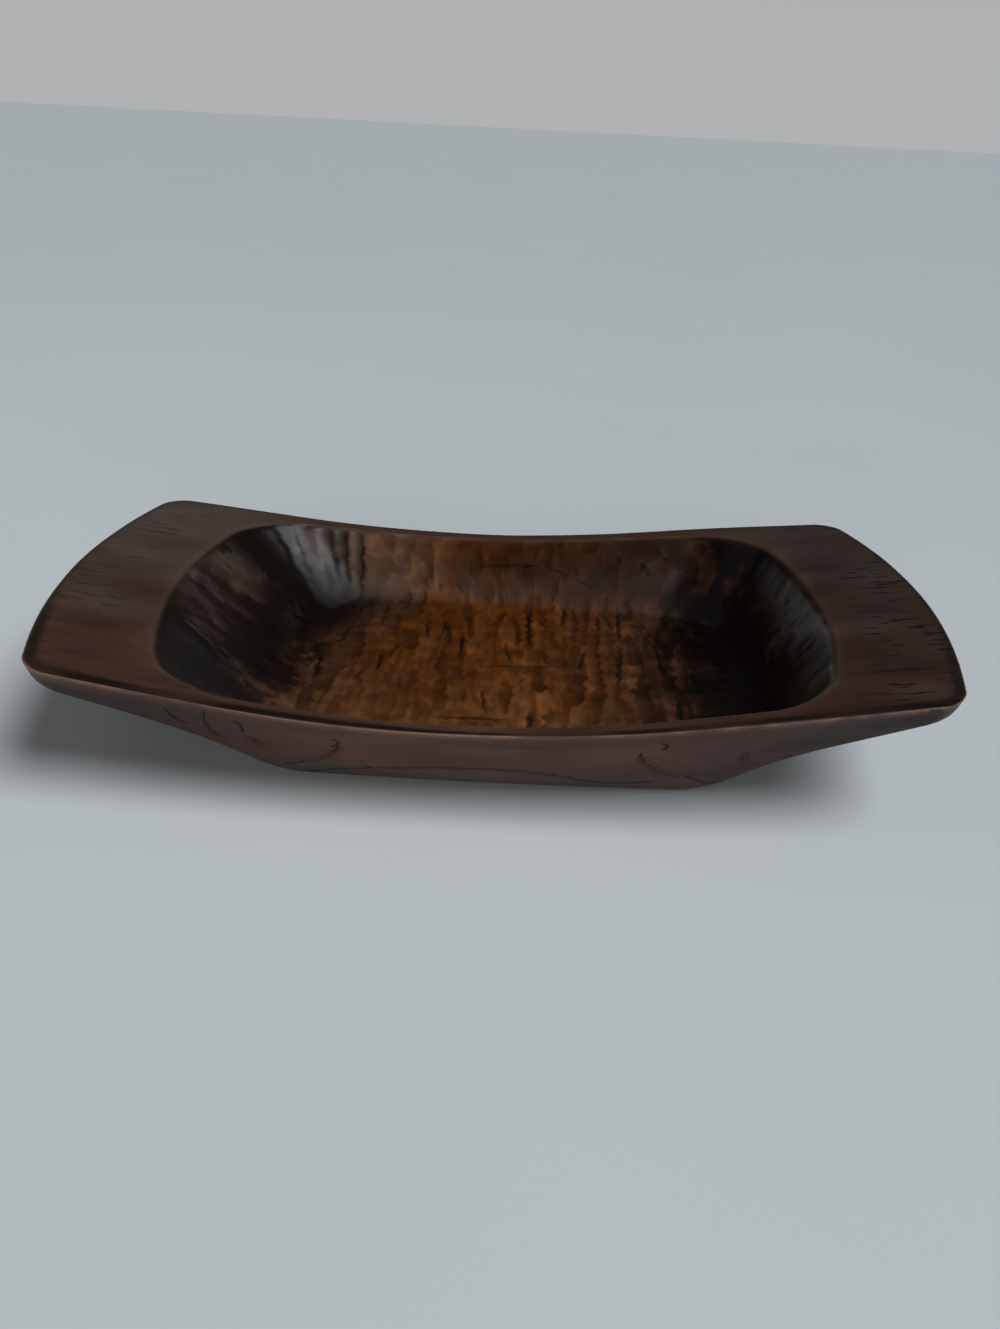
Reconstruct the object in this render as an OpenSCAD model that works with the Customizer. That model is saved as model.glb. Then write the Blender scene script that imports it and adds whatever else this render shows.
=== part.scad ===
// Hand-hewn wooden dough bowl, carved from one block.
// The origin is at the middle of the base, +X runs along the bowl and +Z is up.

/* [Rim] */
// Length over the tips of the two wings
bowl_length = 498; // [440:1:600]
// Width over the middle of the long sides
bowl_width = 268; // [230:1:340]
// Height of the rim where its sweep is lowest
rim_height = 55; // [48:1:75]
// How far each end bows out past its corners
end_bow = 19; // [6:0.5:26]
// How far each long side bows out past its corners
side_bow = 11.5; // [6:0.5:18]
// Radius of the rim's four corners in plan
rim_corner = 12; // [5:1:25]
// Radius of the sweep that lifts the rim towards the ends
sweep_radius = 905; // [800:5:1600]
// Distance from the lowest point at which the sweep runs out into a straight wing
sweep_reach = 115; // [60:1:160]
// Place along the bowl where the sweep is lowest
sweep_centre = -23; // [-40:1:40]
// Ease on the outer arris of the rim
arris_ease = 2; // [0.5:0.25:4]

/* [Outside] */
// How far the wing tips overhang the base
end_overhang = 95; // [85:1:110]
// How far the long sides overhang the base
side_overhang = 38.5; // [30:0.5:45]
// How far each end of the base bows out
base_end_bow = 7; // [2:0.5:15]
// How far each long side of the base bows out
base_side_bow = 4; // [1:0.5:10]
// Radius of the base's corners in plan
base_corner = 50; // [30:1:70]
// Ease on the edge of the base
base_ease = 5; // [1:0.5:10]
// Distance from the wing tip in to the knuckle under the wing
knuckle_reach = 60; // [52:1:68]
// Height of the knuckle where the rim is lowest; it rises with the rim
knuckle_height = 26.5; // [22:0.5:30]
// Swell of the long sides at the height of the knuckle
side_swell = 4; // [0:0.5:6]
// Radius of the plan corner at the knuckle
knuckle_corner = 30; // [15:1:45]
// Length over which the knuckle is faired
knuckle_ease = 30; // [5:1:40]
// Thickness of the rim and of the wings at their outer edge
edge_thickness = 13; // [9:0.5:18]
// How far the wings' lower edge sits back from their tips
edge_setback = 2; // [0.5:0.5:6]
// How far the rim's lower edge sits in from the corners of the wings
edge_lean = 4.5; // [2:0.5:9]
// Ease on the lower edge of the rim
edge_ease = 5; // [1:0.5:7]

/* [Hollow] */
// Width of the wings' top face, on the centre line
wing_width = 59.5; // [52:0.5:75]
// Width of the rim's top face at the middle of the long sides
rim_width = 9.5; // [7:0.5:14]
// How far each end of the opening bows out
opening_end_bow = 22; // [8:0.5:30]
// How far each long side of the opening bows out
opening_side_bow = 10; // [4:0.5:16]
// Radius of the opening's corners in plan
opening_corner = 32; // [20:1:50]
// Ease on the lip of the opening
lip_ease = 4.5; // [1:0.5:6]
// Thickness of the floor
floor_thickness = 17; // [13:0.5:22]
// Run of the end walls, from the lip in to the floor
end_wall_run = 48; // [40:1:60]
// Run of the side walls, from the lip in to the floor
side_wall_run = 26; // [22:1:34]
// How far the middle of the floor lies along the bowl from the middle of the base
floor_shift = 14; // [-20:1:20]
// How far each end of the floor bows out
floor_end_bow = 8; // [2:0.5:16]
// How far each long side of the floor bows out
floor_side_bow = 3.5; // [1:0.5:10]
// Radius of the floor's corners in plan
floor_corner = 42; // [20:1:60]
// Length over which the walls are faired into the floor
floor_ease = 14; // [4:1:24]

/* [Hidden] */
wood_brown = "#4b2c20";

// Faces along one end, along one long side and round one corner of a ring
end_steps = 8;
side_steps = 16;
corner_steps = 7;
// Faces round one eased corner of the section
ease_steps = 4;

// Depth of stock under the base, planed away to leave one flat face
planing_stock = 6;

half_length = bowl_length / 2;
half_width = bowl_width / 2;

// Height of the rim's top face at a place x along the bowl
sweep_slope = sweep_reach / sqrt(sweep_radius ^ 2 - sweep_reach ^ 2);
function sweep_rise(x) = sweep_radius - sqrt(sweep_radius ^ 2 - x ^ 2);
function rim_z(x) =
    let(
        d = abs(x - sweep_centre),
        on_arc = min(d, sweep_reach)
    )
    rim_height + sweep_rise(on_arc) + (d - on_arc) * sweep_slope;

// Plan outline: a rectangle with rounded corners, its ends and sides bowed out.
// The half sizes are measured at the middle of each side, over the bow.
function bowed_ring(size, corner, bow) =
    let(
        box = size - bow,
        flat = box - [corner, corner],
        run = function (from, to, steps) [for (i = [0:steps - 1]) from + (to - from) * i / steps],
        turn = function (centre, start) [
            for (i = [0:corner_steps - 1])
                let(a = start + 90 * i / corner_steps)
                centre + corner * [cos(a), sin(a)]
        ],
        outline = concat(
            run([box.x, -flat.y], [box.x, flat.y], end_steps),
            turn([flat.x, flat.y], 0),
            run([flat.x, box.y], [-flat.x, box.y], side_steps),
            turn([-flat.x, flat.y], 90),
            run([-box.x, flat.y], [-box.x, -flat.y], end_steps),
            turn([-flat.x, -flat.y], 180),
            run([-flat.x, -box.y], [flat.x, -box.y], side_steps),
            turn([flat.x, -flat.y], 270)
        )
    )
    [for (p = outline) [
        p.x * (1 + bow.x / box.x * (1 - (p.y / box.y) ^ 2)),
        p.y * (1 + bow.y / box.y * (1 - (p.x / box.x) ^ 2))
    ]];

// A ring laid level, or lifted to a share of the rim's height above it
function level_ring(outline, z) = [for (p = outline) [p.x, p.y, z]];
function swept_ring(outline, share, drop = 0) = [for (p = outline) [p.x, p.y, share * rim_z(p.x) - drop]];

// Half sizes of each ring, from the rim inwards and downwards
rim_size = [half_length, half_width];
base_size = rim_size - [end_overhang, side_overhang];
opening_size = rim_size - [wing_width, rim_width];
floor_size = opening_size - [end_wall_run, side_wall_run];
knuckle_share = knuckle_height / rim_height;
knuckle_size = [half_length - knuckle_reach, base_size.y + side_overhang * knuckle_share + side_swell];
side_lean = side_overhang * edge_thickness / rim_height;
edge_size = rim_size - [edge_setback, side_lean];

rim_bow = [end_bow, side_bow];
edge_bow = [end_bow, side_bow + edge_lean - side_lean];

base_outline = bowed_ring(base_size, base_corner, [base_end_bow, base_side_bow]);
knuckle_outline = bowed_ring(knuckle_size, knuckle_corner, rim_bow);
edge_outline = bowed_ring(edge_size, rim_corner, edge_bow);
rim_outline = bowed_ring(rim_size, rim_corner, rim_bow);
opening_outline = bowed_ring(opening_size, opening_corner, [opening_end_bow, opening_side_bow]);
floor_ring = bowed_ring(floor_size, floor_corner, [floor_end_bow, floor_side_bow]);
floor_outline = [for (p = floor_ring) p + [floor_shift, 0]];
floor_middle = [for (p = floor_ring) [floor_shift, 0]];

// The section's corners, from under the base, round the rim and down to the floor
stations = [
    level_ring(base_outline, -planing_stock),
    level_ring(base_outline, 0),
    swept_ring(knuckle_outline, knuckle_share),
    swept_ring(edge_outline, 1, edge_thickness),
    swept_ring(rim_outline, 1),
    swept_ring(opening_outline, 1),
    level_ring(floor_outline, floor_thickness),
    level_ring(floor_middle, floor_thickness)
];
eases = [0, base_ease, knuckle_ease, edge_ease, arris_ease, lip_ease, floor_ease, 0];

// One corner of a section, eased into a curve that keeps within half of each leg
function eased_corner(before, corner, after, ease) =
    let(
        back = before - corner,
        ahead = after - corner,
        a = corner + back * min(ease / norm(back), 0.5),
        b = corner + ahead * min(ease / norm(ahead), 0.5)
    )
    [for (i = [0:ease_steps])
        let(t = i / ease_steps)
        a * (1 - t) ^ 2 + corner * 2 * t * (1 - t) + b * t ^ 2];

// The section through the wood at one place round the bowl
function section(column) = [
    stations[0][column],
    for (s = [1:len(stations) - 2])
        each eased_corner(stations[s - 1][column], stations[s][column], stations[s + 1][column], eases[s])
];

// Solid skinned over a closed row of sections
module skin(sections) {
    columns = len(sections);
    rows = len(sections[0]);
    points = [for (s = sections) each s];
    sides = [
        for (c = [0:columns - 1], r = [0:rows - 2])
            let(
                here = c * rows + r,
                next = ((c + 1) % columns) * rows + r
            )
            each [[here, here + 1, next], [next, here + 1, next + 1]]
    ];
    underneath = [for (c = [0:columns - 1]) c * rows];
    inside_floor = [for (c = [columns - 1:-1:0]) c * rows + rows - 1];
    polyhedron(points, concat(sides, [underneath, inside_floor]));
}

// The whole bowl, skinned and then planed flat underneath
module carved_bowl() {
    color(wood_brown)
        difference() {
            skin([for (column = [0:len(rim_outline) - 1]) section(column)]);
            translate([-half_length, -half_width, -2 * planing_stock])
                cube([bowl_length, bowl_width, 2 * planing_stock]);
        }
}

carved_bowl();
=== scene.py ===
"""Dough bowl: the dressed model of a hand-hewn bowl, laid out as an add-on and run as a script."""
import math
from typing import NamedTuple

import bmesh
import bpy
import numpy as np
from bpy.props import FloatProperty, FloatVectorProperty, IntProperty, PointerProperty
from mathutils import Matrix, Vector


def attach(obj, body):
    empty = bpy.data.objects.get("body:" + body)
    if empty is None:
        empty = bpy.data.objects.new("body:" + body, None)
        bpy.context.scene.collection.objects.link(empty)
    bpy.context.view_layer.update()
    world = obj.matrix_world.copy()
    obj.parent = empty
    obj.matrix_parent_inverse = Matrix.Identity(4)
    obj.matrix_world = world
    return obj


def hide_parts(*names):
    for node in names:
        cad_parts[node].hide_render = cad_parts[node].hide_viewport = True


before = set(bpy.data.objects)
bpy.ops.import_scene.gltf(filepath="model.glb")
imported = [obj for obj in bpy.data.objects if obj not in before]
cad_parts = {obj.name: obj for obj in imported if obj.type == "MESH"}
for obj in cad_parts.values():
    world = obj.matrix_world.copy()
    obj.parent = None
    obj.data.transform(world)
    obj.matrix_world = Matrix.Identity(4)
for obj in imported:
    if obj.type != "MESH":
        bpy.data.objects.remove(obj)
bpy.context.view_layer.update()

bl_info = {
    "name": "Carved Dough Bowl",
    "version": (1, 0, 0),
    "blender": (4, 5, 0),
    "location": "View3D > Sidebar > Dough Bowl",
    "description": "A dough bowl hewn from one block, with its gouge marks, and a plain studio stage",
    "category": "Add Mesh",
}

PIECE = "carved_bowl"
MILLIMETRE = 0.001
UP = np.array([0.0, 0.0, 1.0])


def length(name, description, default):
    """A size in metres, shown in the scene's own units."""
    return FloatProperty(
        name=name, description=description, default=default, subtype="DISTANCE", unit="LENGTH"
    )


def share(name, description, default):
    """A part of one."""
    return FloatProperty(
        name=name, description=description, default=default, min=0.0, max=1.0, subtype="FACTOR"
    )


def colour(name, description, default):
    """A linear colour."""
    return FloatVectorProperty(
        name=name, description=description, default=default, size=3, min=0.0, max=1.0, subtype="COLOR"
    )


def angle(name, description, degrees):
    """A turn or a breadth, given in degrees."""
    return FloatProperty(
        name=name, description=description, default=math.radians(degrees), subtype="ANGLE"
    )


def brightness(name, description, default, unit="NONE"):
    """The strength or the power of a light."""
    return FloatProperty(name=name, description=description, default=default, unit=unit)


class BowlShape(bpy.types.PropertyGroup):
    """Sizes of the bowl, the same as in the part's source."""

    bowl_length: length("Length", "Length over the tips of the two wings", 0.498)
    bowl_width: length("Width", "Width over the middle of the long sides", 0.268)
    rim_height: length("Rim height", "Height of the rim where its sweep is lowest", 0.055)
    end_bow: length("End bow", "How far each end bows out past its corners", 0.019)
    side_bow: length("Side bow", "How far each long side bows out past its corners", 0.0115)
    rim_corner: length("Rim corner", "Radius of the rim's corners in plan", 0.012)
    sweep_radius: length("Sweep radius", "Radius of the sweep that lifts the rim towards the ends", 0.905)
    sweep_reach: length("Sweep reach", "Where the sweep runs out into a straight wing", 0.115)
    sweep_centre: length("Sweep centre", "Place along the bowl where the sweep is lowest", -0.023)
    arris_ease: length("Arris ease", "Ease on the outer arris of the rim", 0.002)
    end_overhang: length("End overhang", "How far the wing tips overhang the base", 0.095)
    side_overhang: length("Side overhang", "How far the long sides overhang the base", 0.0385)
    base_end_bow: length("Base end bow", "How far each end of the base bows out", 0.007)
    base_side_bow: length("Base side bow", "How far each long side of the base bows out", 0.004)
    base_corner: length("Base corner", "Radius of the base's corners in plan", 0.050)
    base_ease: length("Base ease", "Ease on the edge of the base", 0.005)
    knuckle_reach: length("Knuckle reach", "From the wing tip in to the knuckle under the wing", 0.060)
    knuckle_height: length("Knuckle height", "Height of the knuckle where the rim is lowest", 0.0265)
    side_swell: length("Side swell", "Swell of the long sides at the knuckle's height", 0.004)
    knuckle_corner: length("Knuckle corner", "Radius of the plan corner at the knuckle", 0.030)
    knuckle_ease: length("Knuckle ease", "Length over which the knuckle is faired", 0.030)
    edge_thickness: length("Edge thickness", "Thickness of the rim and wings at their edge", 0.013)
    edge_setback: length("Edge setback", "How far the wings' lower edge sits back from their tips", 0.002)
    edge_lean: length("Edge lean", "How far the rim's lower edge sits in from the corners", 0.0045)
    edge_ease: length("Edge ease", "Ease on the lower edge of the rim", 0.005)
    wing_width: length("Wing width", "Width of the wings' top face, on the centre line", 0.0595)
    rim_width: length("Rim width", "Width of the rim's top face at the long sides", 0.0095)
    opening_end_bow: length("Opening end bow", "How far each end of the opening bows out", 0.022)
    opening_side_bow: length("Opening side bow", "How far each long side of the opening bows out", 0.010)
    opening_corner: length("Opening corner", "Radius of the opening's corners in plan", 0.032)
    lip_ease: length("Lip ease", "Ease on the lip of the opening", 0.0045)
    floor_thickness: length("Floor thickness", "Thickness of the floor", 0.017)
    end_wall_run: length("End wall run", "Run of the end walls, from the lip in to the floor", 0.048)
    side_wall_run: length("Side wall run", "Run of the side walls, from the lip in to the floor", 0.026)
    floor_shift: length("Floor shift", "How far the floor's middle lies along the bowl", 0.014)
    floor_end_bow: length("Floor end bow", "How far each end of the floor bows out", 0.008)
    floor_side_bow: length("Floor side bow", "How far each long side of the floor bows out", 0.0035)
    floor_corner: length("Floor corner", "Radius of the floor's corners in plan", 0.042)
    floor_ease: length("Floor ease", "Length over which the walls are faired into the floor", 0.014)


class ToolMarks(bpy.types.PropertyGroup):
    """The marks that the maker's gouge and the wood's age left on the bowl."""

    seed: IntProperty(name="Seed", description="Start of the random run of the marks", default=41, min=0)
    floor_pitch: length("Floor pitch", "Spacing of the gouge strokes across the floor", 0.0076)
    floor_stride: length("Floor stride", "Spacing of the cuts along one stroke of the floor", 0.056)
    wall_pitch: length("Wall pitch", "Spacing of the gouge strokes round the walls", 0.0105)
    wall_stride: length("Wall stride", "Spacing of the cuts down the walls", 0.026)
    cut_depth: length("Cut depth", "Usual depth of one gouge cut", 0.0014)
    ragged_edge: length("Ragged edge", "How far the edge of a cut strays", 0.0007)
    stab_share: share("Stabs", "Part of the cuts that are narrow stabs of the gouge's corner", 0.13)
    lip_wander: length("Lip wander", "How far the hand-cut lip strays from its line", 0.0004)
    face_wander: length("Face wander", "How far the hand-planed faces stray from flat", 0.00012)
    line_width: length("Line width", "Width of the dark growth lines on the outside", 0.0015)
    line_depth: length("Line depth", "Depth of the dark growth lines on the outside", 0.0005)


class WoodFinish(bpy.types.PropertyGroup):
    """Colours and sheen of the stained wood."""

    stain: colour("Stain", "Brown stain on the rim and the wings", (0.068, 0.030, 0.019))
    thin_stain: colour("Thin stain", "Stain on the outside, where it lies thinner", (0.083, 0.034, 0.024))
    stain_dark: colour("Dark grain", "Stain where the grain drinks more of it", (0.036, 0.015, 0.010))
    # Grey of the painted sheen on the wings and walls, and of the painted reflection of the floor low on the
    # outside
    painted_sheen: colour("Faded", "Stain gone grey with use", (0.080, 0.067, 0.055))
    honey: colour("Honey", "Bare honey-coloured wood in the middle of the hollow", (0.081, 0.021, 0.001))
    tan: colour("Tan", "Bare wood of the hollow that is dry and paler", (0.108, 0.039, 0.011))
    # Colour of the bare, rubbed edges, which also carries the painted highlight along the near arris and the
    # lip
    worn_and_highlight: colour("Worn", "Wood rubbed bare along the edges", (0.30, 0.16, 0.11))
    # Near-black of the char at the hollow's ends, partly painted shade; the hairlines and dark lines use it
    # too
    char: colour("Char", "Blackened wood at the ends of the hollow", (0.003, 0.0018, 0.0014))
    sheen: share("Roughness", "Roughness of the waxed surface", 0.42)
    gloss: share("Gloss", "Strength of the wax's reflections", 0.22)


class StudioStage(bpy.types.PropertyGroup):
    """Camera, lamps and floor of the studio."""

    eye: FloatVectorProperty(
        name="Eye", description="Place of the camera", default=(0.0001, -0.5421, 0.3173), size=3,
        subtype="TRANSLATION", unit="LENGTH",
    )
    pitch: angle("Pitch", "How far the camera looks down", 28.57)
    roll: angle("Roll", "How far the camera leans over", 2.99)
    yaw: angle("Yaw", "How far the camera turns to the right", 0.32)
    lens: FloatProperty(
        name="Lens", description="Focal length on a 36 mm sensor, in millimetres", default=27.17,
        subtype="DISTANCE_CAMERA",
    )
    floor_colour: colour("Floor colour", "Pale paint of the floor", (0.655, 0.685, 0.705))
    window_strength: brightness("Window strength", "Strength of the broad light from a window", 2.3)
    window_angle: angle("Window angle", "Breadth of the window's light", 36.0)
    side_power: brightness("Side power", "Power of the soft lamp at the left", 0.6, "POWER")
    front_power: brightness("Front power", "Power of the soft lamp in front", 26.0, "POWER")
    wall_light: brightness("Wall light", "Light of the room level with the bowl", 0.45)
    ceiling_light: brightness("Ceiling light", "Light of the room above the bowl", 0.035)


# Counts of faces: along one end, along one long side and round half a corner of each ring
END_STEPS = 80
SIDE_STEPS = 170
HALF_CORNER_STEPS = 13
GRID_X = SIDE_STEPS + 2 * HALF_CORNER_STEPS
GRID_Y = END_STEPS + 2 * HALF_CORNER_STEPS

# Part of the floor's half length and half width that is a plain grid
PATCH_SHARE = np.array([0.82, 0.80])

# Signs of a ring's corners, from the right near one round and back to it
CORNER_SIGNS = np.array([(1, -1), (1, 1), (-1, 1), (-1, -1), (1, -1)])
# Part of the base's outline at which the plain face under the bowl starts
UNDERSIDE_SHARE = 0.9

# The section's corners, from the floor up over the rim and down to the base
FLOOR, LIP, RIM, EDGE, KNUCKLE, BASE, UNDERSIDE = range(1, 8)
LEG_STEPS = (8, 24, 10, 2, 11, 8, 1)
EASE_STEPS = {FLOOR: 6, LIP: 6, RIM: 6, EDGE: 3, KNUCKLE: 7, BASE: 3}
# How strongly the rows of the top face crowd towards the rim
RIM_CROWD = 1.8
# A row's place along the section counts corners; an eased corner reaches this far to each side of its number
EASE_REACH = 0.25


def smooth_step(low, high, value):
    """0 below low, 1 above high and a smooth rise between them."""
    t = np.clip((value - low) / (high - low), 0.0, 1.0)
    return t * t * (3.0 - 2.0 * t)


def between(first, second, part):
    """The first value where the part is 0, the second where it is 1."""
    return first + (second - first) * part


def bell(value, centre, width):
    """A smooth hump of height 1."""
    return np.exp(-(((value - centre) / width) ** 2))


def ripple(points, wavelength, random, waves=14):
    """Smooth unevenness of about unit size, from a few waves that cross at random."""
    total = np.zeros(len(points))
    for _ in range(waves):
        heading = random.normal(size=3)
        heading /= np.linalg.norm(heading)
        pitch = wavelength * random.uniform(0.7, 1.5)
        total += np.sin(points @ heading * math.tau / pitch + random.uniform(0.0, math.tau))
    return total / math.sqrt(waves / 2)


def rim_height_at(shape, x):
    """Height of the rim's top face at a place x along the bowl."""
    radius, reach = shape.sweep_radius, shape.sweep_reach
    distance = np.abs(x - shape.sweep_centre)
    on_arc = np.minimum(distance, reach)
    slope = reach / math.sqrt(radius**2 - reach**2)
    return shape.rim_height + radius - np.sqrt(radius**2 - on_arc**2) + (distance - on_arc) * slope


def plan_outline(size, corner, bow):
    """A rectangle in plan with rounded corners and bowed sides, from the middle of its right near corner."""
    box = np.array(size) - bow
    flat = box - corner
    corners = CORNER_SIGNS * flat
    points = []
    for side in range(4):
        before, after = corners[side], corners[side + 1]
        out = math.pi / 2 * side
        facing = np.array([math.cos(out), math.sin(out)])
        steps = (END_STEPS, SIDE_STEPS)[side % 2]
        for i in range(HALF_CORNER_STEPS):
            heading = out + math.pi / 4 * (i / HALF_CORNER_STEPS - 1)
            points.append(before + corner * np.array([math.cos(heading), math.sin(heading)]))
        for i in range(steps):
            points.append(before + (after - before) * i / steps + corner * facing)
        for i in range(HALF_CORNER_STEPS):
            heading = out + math.pi / 4 * i / HALF_CORNER_STEPS
            points.append(after + corner * np.array([math.cos(heading), math.sin(heading)]))
    points = np.array(points)
    across = (points / box) ** 2
    points[:, 0], points[:, 1] = (
        points[:, 0] * (1 + bow[0] / box[0] * (1 - across[:, 1])),
        points[:, 1] * (1 + bow[1] / box[1] * (1 - across[:, 0])),
    )
    return points


def floor_patch_size(shape):
    """Half sizes of the rectangle of floor that the rings start from."""
    opening = np.array([shape.bowl_length / 2 - shape.wing_width, shape.bowl_width / 2 - shape.rim_width])
    return (opening - [shape.end_wall_run, shape.side_wall_run]) * PATCH_SHARE


def patch_outline(size):
    """The rectangle's own outline, with the same number of points as the rings."""
    corners = CORNER_SIGNS * size
    sides = [
        np.linspace(corners[side], corners[side + 1], (GRID_Y, GRID_X)[side % 2], endpoint=False)
        for side in range(4)
    ]
    return np.concatenate(sides)


def section_corners(shape):
    """The rings that the section's corners run round, from the floor to the underside."""
    rim = np.array([shape.bowl_length / 2, shape.bowl_width / 2])
    rim_bow = np.array([shape.end_bow, shape.side_bow])
    base = rim - [shape.end_overhang, shape.side_overhang]
    opening = rim - [shape.wing_width, shape.rim_width]
    floor = opening - [shape.end_wall_run, shape.side_wall_run]
    knuckle_share = shape.knuckle_height / shape.rim_height
    knuckle = [rim[0] - shape.knuckle_reach, base[1] + shape.side_overhang * knuckle_share + shape.side_swell]
    side_lean = shape.side_overhang * shape.edge_thickness / shape.rim_height
    edge = rim - [shape.edge_setback, side_lean]
    edge_bow = rim_bow + [0.0, shape.edge_lean - side_lean]

    def level(outline, z):
        return np.column_stack([outline, np.full(len(outline), z)])

    def swept(outline, part, drop=0.0):
        return np.column_stack([outline, part * rim_height_at(shape, outline[:, 0]) - drop])

    shift = np.array([shape.floor_shift, 0.0])
    floor_bow = np.array([shape.floor_end_bow, shape.floor_side_bow])
    floor_ring = plan_outline(floor, shape.floor_corner, floor_bow)
    opening_bow = np.array([shape.opening_end_bow, shape.opening_side_bow])
    base_bow = np.array([shape.base_end_bow, shape.base_side_bow])
    base_ring = plan_outline(base, shape.base_corner, base_bow)
    return [
        level(patch_outline(floor_patch_size(shape)) + shift, shape.floor_thickness),
        level(floor_ring + shift, shape.floor_thickness),
        swept(plan_outline(opening, shape.opening_corner, opening_bow), 1.0),
        swept(plan_outline(rim, shape.rim_corner, rim_bow), 1.0),
        swept(plan_outline(edge, shape.rim_corner, edge_bow), 1.0, shape.edge_thickness),
        swept(plan_outline(knuckle, shape.knuckle_corner, rim_bow), knuckle_share),
        level(base_ring, 0.0),
        level(base_ring * UNDERSIDE_SHARE, 0.0),
    ]


def section_rows(shape):
    """All rings of the bowl, with the eased corners between them, and each ring's place along the section."""
    corners = section_corners(shape)
    eases = {
        FLOOR: shape.floor_ease, LIP: shape.lip_ease, RIM: shape.arris_ease,
        EDGE: shape.edge_ease, KNUCKLE: shape.knuckle_ease, BASE: shape.base_ease,
    }
    rows, places = [corners[0]], [EASE_REACH]
    leave = corners[0]
    for number in range(FLOOR, UNDERSIDE + 1):
        corner = corners[number]
        last = number == UNDERSIDE
        if last:
            enter = corner
        else:
            back, ahead = corners[number - 1] - corner, corners[number + 1] - corner
            back_length = np.linalg.norm(back, axis=1, keepdims=True)
            ahead_length = np.linalg.norm(ahead, axis=1, keepdims=True)
            enter = corner + back * np.minimum(eases[number] / back_length, 0.5)
            next_leave = corner + ahead * np.minimum(eases[number] / ahead_length, 0.5)
        steps = LEG_STEPS[number - 1]
        for i in range(1, steps + last):
            t = i / steps
            if number == RIM:
                t = 1.0 - (1.0 - t) ** RIM_CROWD
            rows.append(leave + (enter - leave) * t)
            places.append(number - 1 + EASE_REACH + (1 - 2 * EASE_REACH) * t)
        if last:
            break
        for i in range(EASE_STEPS[number] + 1):
            t = i / EASE_STEPS[number]
            rows.append(enter * (1 - t) ** 2 + corner * 2 * t * (1 - t) + next_leave * t**2)
            places.append(number + EASE_REACH * (2 * t - 1))
        leave = next_leave
    return np.array(rows), np.array(places)


def floor_patch(shape):
    """Points of the rectangle of floor in the middle, column by column."""
    size = floor_patch_size(shape)
    x = np.linspace(-size[0], size[0], GRID_X + 1) + shape.floor_shift
    y = np.linspace(-size[1], size[1], GRID_Y + 1)
    grid = np.stack(np.meshgrid(x, y, indexing="ij"), axis=-1)
    return np.concatenate([grid, np.full(grid.shape[:2] + (1,), shape.floor_thickness)], axis=-1)


def ring_normals(rows):
    """Outward directions of the skin at each point of the rings."""
    around = np.roll(rows, -1, axis=1) - np.roll(rows, 1, axis=1)
    along = np.gradient(rows, axis=0)
    normals = np.cross(along, around)
    return normals / np.maximum(np.linalg.norm(normals, axis=2, keepdims=True), 1e-12)


class Chip(NamedTuple):
    """One chip taken out by the gouge: a tilted face that starts gently and stops in a step."""

    centre: np.ndarray
    stroke: np.ndarray
    across: np.ndarray
    depth: float
    half_width: float
    run_in: float
    run_out: float
    slant: float
    tone: float
    dark: float


class Strokes(NamedTuple):
    """Least and most of one kind of cut: its two runs, as parts of the stride, and its darkness."""

    run_in: tuple
    run_out: tuple
    dark: tuple


# The stabs' darkness is stain and painted shade in their narrow grooves
FLOOR_CUTS = Strokes(run_in=(0.35, 1.0), run_out=(0.20, 0.40), dark=(0.0, 0.0))
FLOOR_STABS = Strokes(run_in=(0.10, 0.25), run_out=(0.20, 0.40), dark=(0.3, 0.6))
WALL_CUTS = Strokes(run_in=(0.7, 1.4), run_out=(0.2, 0.5), dark=(0.0, 0.0))
WALL_STABS = Strokes(run_in=(0.12, 0.3), run_out=(0.05, 0.15), dark=(0.35, 0.75))

# Least and most half width of a narrow stab, and of the other cuts as a part of their spacing
STAB_HALF_WIDTH = (0.0011, 0.0018)
FLOOR_HALF_WIDTH = (0.4, 0.8)
WALL_HALF_WIDTH = (0.5, 0.8)

# How far the floor's strokes reach past its edge, and stray sideways as a part of their spacing
FLOOR_MARGIN = 0.004
FLOOR_STRAY = 0.3
# How far strokes turn from straight across the floor and straight down a wall, and how much more stabs do
FLOOR_TURN = 0.10
WALL_TURN = 0.07
STAB_TURN = 10.0
# Part of the floor's strokes that run away from the near side, and of all faces that slant the usual way
AWAY_SHARE = 0.35
USUAL_SHARE = 0.7
# How steeply the walls' faces slant and how many of their cuts are stabs, next to the floor's
WALL_SLANT = 0.6
WALL_STAB_SHARE = 0.5

# How far the walls' strokes keep from the corners of the section at their foot and head
WALL_MARGIN = 0.1
# How far a wall faces along the bowl to be an end wall, and across it to be the far wall
END_FACING = 0.3
FAR_FACING = 0.5
# How deep the cuts of the end walls are, next to those of the other walls
END_DEPTH = 0.6
NEAR_LEFT_DEPTH = 0.45

# The far left corner starts past these two places, and each of its strokes runs the whole way down
CORNER_START = (-0.092, 0.065)
CORNER_SLANT = (1.5, 2.0)
CORNER_DEPTH = (1.05, 1.3)
CORNER_SPACING = (0.85, 1.05)
CORNER_HALF_WIDTH = 0.60
CORNER_RUN_IN = 1.2
CORNER_RUN_OUT = 0.65
# In the middle of the turn the corner's faces slant the other way; past it they are shallow and nearly plain
TURN_SLANT = -0.4
PAST_TURN_FACING = 0.5
PAST_TURN_SLANT = 0.15
PAST_TURN_DEPTH = 0.25


def new_chip(centre, stroke, normal, depth, half_width, run_in, run_out, slant, tone, dark=0.0):
    """A chip with its three directions squared up; its face slants down towards +X."""
    stroke = stroke / np.linalg.norm(stroke)
    across = np.cross(normal, stroke)
    across = across / np.linalg.norm(across)
    slant = slant if across[0] > 0.0 else -slant
    return Chip(np.array(centre), stroke, across, depth, half_width, run_in, run_out, slant, tone, dark)


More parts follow.
